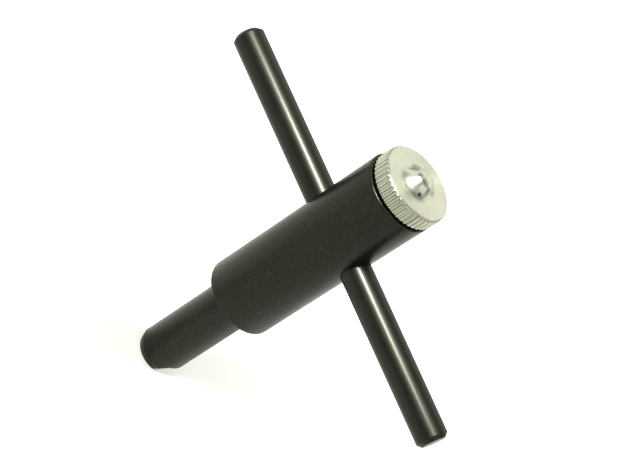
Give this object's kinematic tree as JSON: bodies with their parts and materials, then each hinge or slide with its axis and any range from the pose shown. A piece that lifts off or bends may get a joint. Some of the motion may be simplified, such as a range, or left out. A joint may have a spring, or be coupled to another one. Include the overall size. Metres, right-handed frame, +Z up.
{
  "type": "tap wrench",
  "caption": "T-handle tap wrench: dark steel barrel with slim nose, fixed cross bar and a knurled aluminium knob that closes vee jaws in the nose.",
  "frame": {"origin": "centre of the nose mouth, at the tip of the nose", "axes": "+Z up the wrench axis from the nose to the knob, +X along the handle bar"},
  "size_m": [0.1339, 0.0254, 0.1187],
  "materials": {
    "black_oxide_barrel": "black oxide, satin, finely turned",
    "black_oxide_bar": "black oxide, glossy, oiled",
    "turned_aluminium": "turned face, straight-knurled rim",
    "machined_steel": "machined",
    "pin_steel": "drawn wire",
    "ball_steel": "polished",
    "spring_steel": "spring wire",
    "hardened_jaw_steel": "hardened and ground"
  },
  "bodies": {
    "body": {"body": "black_oxide_barrel", "handle_bar": "black_oxide_bar", "return_spring": "spring_steel"},
    "plunger": {"jaw_plunger": "machined_steel", "thrust_ball": "ball_steel", "jaw_springs": "spring_steel"},
    "knob": {"clamp_knob": "turned_aluminium", "knob_stud": "machined_steel", "knob_key_pin": "pin_steel"},
    "front_jaw": {"front_jaw": "hardened_jaw_steel"},
    "back_jaw": {"back_jaw": "hardened_jaw_steel"}
  },
  "joints": [
    {"name": "plunger_slide", "type": "slide", "parent": "body", "child": "plunger", "axis": [0, 0, 1], "range_m": [-0.00075, 0.0026], "deforming": ["return_spring"]},
    {"name": "knob_turn", "type": "hinge", "parent": "plunger", "child": "knob", "pos_m": [0, 0, 0.11235], "axis": [0, 0, 1], "range_deg": [-170.2, 589.8]},
    {"name": "front_jaw_slide", "type": "slide", "parent": "body", "child": "front_jaw", "axis": [0, -0.342, 0.9397], "range_m": [-0.0008, 0.00277], "deforming": ["jaw_springs"]},
    {"name": "back_jaw_slide", "type": "slide", "parent": "body", "child": "back_jaw", "axis": [0, 0.342, 0.9397], "range_m": [-0.0008, 0.00277]}
  ],
  "couplings": [
    {"joint": "knob_turn", "follows": "plunger_slide", "rad_per_m": 3957.9},
    {"joint": "front_jaw_slide", "follows": "plunger_slide", "ratio": 1.0642},
    {"joint": "back_jaw_slide", "follows": "plunger_slide", "ratio": 1.0642}
  ]
}
